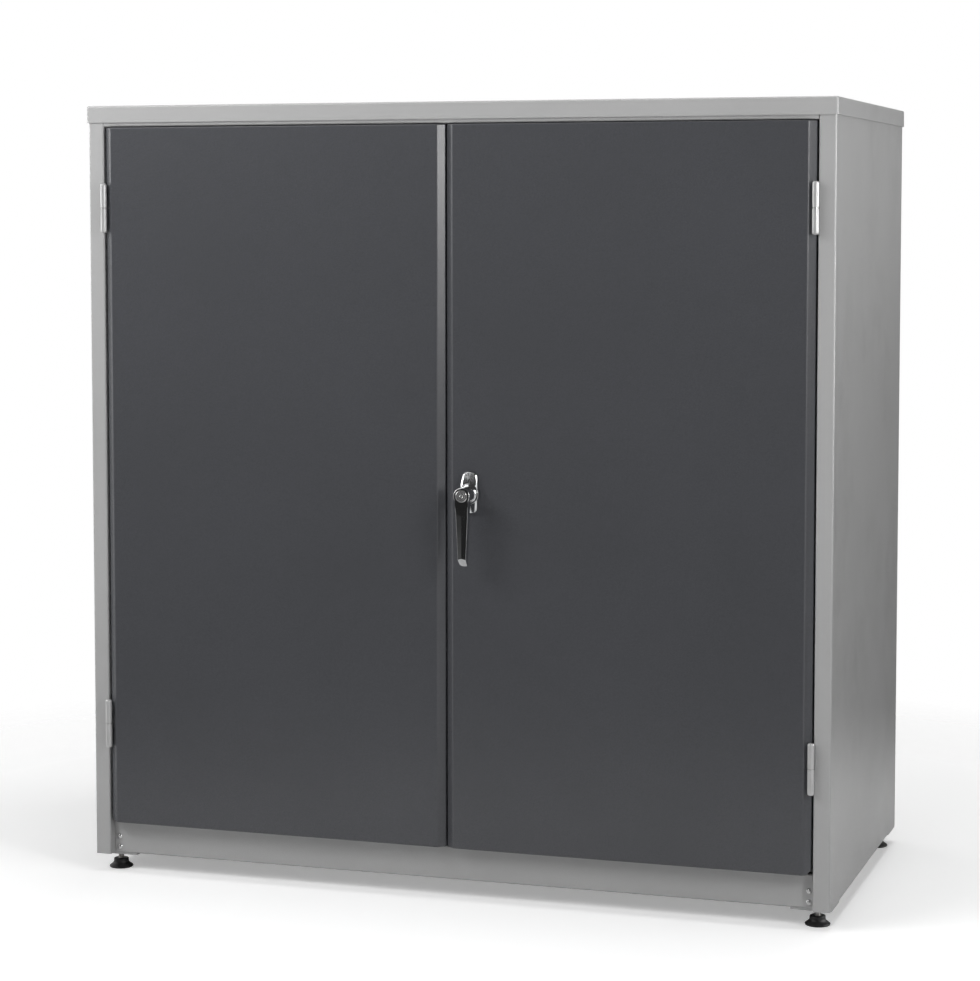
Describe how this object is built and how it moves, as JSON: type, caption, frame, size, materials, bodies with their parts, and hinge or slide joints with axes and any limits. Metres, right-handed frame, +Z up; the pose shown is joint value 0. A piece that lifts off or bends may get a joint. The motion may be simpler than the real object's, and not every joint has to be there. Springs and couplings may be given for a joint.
{
  "type": "tool cabinet",
  "caption": "Low sheet steel tool cabinet with a lidded top, hinged pan doors, a locking swing handle with bolts, shelves inside and levelling feet.",
  "frame": {"origin": "on the floor, under the middle of the whole cabinet with its handle", "axes": "+Z up, the doors face -Y, +X to the right of someone facing the doors"},
  "size_m": [1, 0.5416, 1.024],
  "materials": {
    "grey_paint": "light grey powder coat, satin",
    "anthracite_paint": "dark grey powder coat, fine orange peel",
    "chrome": "polished chrome plate",
    "zinc_plate": "bright zinc plate",
    "bright_screw": "bright steel",
    "bright_steel": "ground steel",
    "black_plastic": "moulded black plastic",
    "magnet": "dark sintered magnet"
  },
  "bodies": {
    "cabinet": {"top_cap": "grey_paint", "left_side_panel": "grey_paint", "right_side_panel": "grey_paint", "back_panel": "grey_paint", "base_panel": "grey_paint", "top_rail": "grey_paint", "plinth_rail": "grey_paint", "plinth_gussets": "grey_paint", "plinth_screws": "bright_screw", "rear_rail": "grey_paint", "foot_plates": "grey_paint", "foot_nuts": "zinc_plate", "left_upper_hinge_body_half": "zinc_plate", "left_lower_hinge_body_half": "zinc_plate", "right_upper_hinge_body_half": "zinc_plate", "right_lower_hinge_body_half": "zinc_plate", "hinge_pins": "bright_steel", "hinge_washers": "bright_steel", "left_front_upright": "grey_paint", "left_rear_upright": "grey_paint", "right_front_upright": "grey_paint", "right_rear_upright": "grey_paint", "lower_shelf_clips": "zinc_plate", "lower_shelf": "grey_paint", "upper_shelf_clips": "zinc_plate", "upper_shelf": "grey_paint", "catch_housings": "black_plastic", "catch_magnets": "magnet"},
    "left_door": {"left_door_panel": "anthracite_paint", "left_door_stiffener": "anthracite_paint", "left_upper_hinge_door_half": "zinc_plate", "left_lower_hinge_door_half": "zinc_plate"},
    "right_door": {"right_door_panel": "anthracite_paint", "right_door_stiffener": "anthracite_paint", "right_upper_hinge_door_half": "zinc_plate", "right_lower_hinge_door_half": "zinc_plate", "handle_escutcheon": "chrome", "lock_case": "zinc_plate", "lock_cover": "zinc_plate", "bolt_guides": "black_plastic"},
    "handle": {"handle_lever": "chrome", "handle_ring": "zinc_plate", "handle_spindle": "zinc_plate", "pinion": "zinc_plate", "lock_cylinder": "chrome"},
    "lock_plug": {"lock_plug": "chrome"},
    "top_bolt": {"top_bolt": "zinc_plate"},
    "bottom_bolt": {"bottom_bolt": "zinc_plate"},
    "front_left_foot": {"front_left_foot_pad": "black_plastic", "front_left_foot_stud": "zinc_plate"},
    "front_right_foot": {"front_right_foot_pad": "black_plastic", "front_right_foot_stud": "zinc_plate"},
    "rear_left_foot": {"rear_left_foot_pad": "black_plastic", "rear_left_foot_stud": "zinc_plate"},
    "rear_right_foot": {"rear_right_foot_pad": "black_plastic", "rear_right_foot_stud": "zinc_plate"}
  },
  "joints": [
    {"name": "left_door_hinge", "type": "hinge", "parent": "cabinet", "child": "left_door", "pos_m": [-0.4743, -0.2332, 0.203], "axis": [0, 0, -1], "range_deg": [0, 180]},
    {"name": "right_door_hinge", "type": "hinge", "parent": "cabinet", "child": "right_door", "pos_m": [0.4743, -0.2332, 0.203], "axis": [0, 0, 1], "range_deg": [0, 180]},
    {"name": "handle_turn", "type": "hinge", "parent": "right_door", "child": "handle", "pos_m": [0.035, -0.2322, 0.5285], "axis": [0, -1, 0], "range_deg": [0, 90]},
    {"name": "lock_plug_turn", "type": "hinge", "parent": "handle", "child": "lock_plug", "pos_m": [0.035, -0.2702, 0.5285], "axis": [0, -1, 0], "range_deg": [0, 90]},
    {"name": "top_bolt_slide", "type": "slide", "parent": "right_door", "child": "top_bolt", "axis": [0, 0, 1], "range_m": [0, 0.0157]},
    {"name": "bottom_bolt_slide", "type": "slide", "parent": "right_door", "child": "bottom_bolt", "axis": [0, 0, -1], "range_m": [0, 0.0158]},
    {"name": "front_left_foot_turn", "type": "hinge", "parent": "cabinet", "child": "front_left_foot", "pos_m": [-0.477, -0.1942, 0.012], "axis": [0, 0, 1], "continuous": true},
    {"name": "front_right_foot_turn", "type": "hinge", "parent": "cabinet", "child": "front_right_foot", "pos_m": [0.477, -0.1942, 0.012], "axis": [0, 0, 1], "continuous": true},
    {"name": "rear_left_foot_turn", "type": "hinge", "parent": "cabinet", "child": "rear_left_foot", "pos_m": [-0.477, 0.2358, 0.012], "axis": [0, 0, 1], "continuous": true},
    {"name": "rear_right_foot_turn", "type": "hinge", "parent": "cabinet", "child": "rear_right_foot", "pos_m": [0.477, 0.2358, 0.012], "axis": [0, 0, 1], "continuous": true}
  ],
  "couplings": [
    {"joint": "handle_turn", "follows": "top_bolt_slide", "rad_per_m": 100},
    {"joint": "bottom_bolt_slide", "follows": "top_bolt_slide", "ratio": 1}
  ]
}
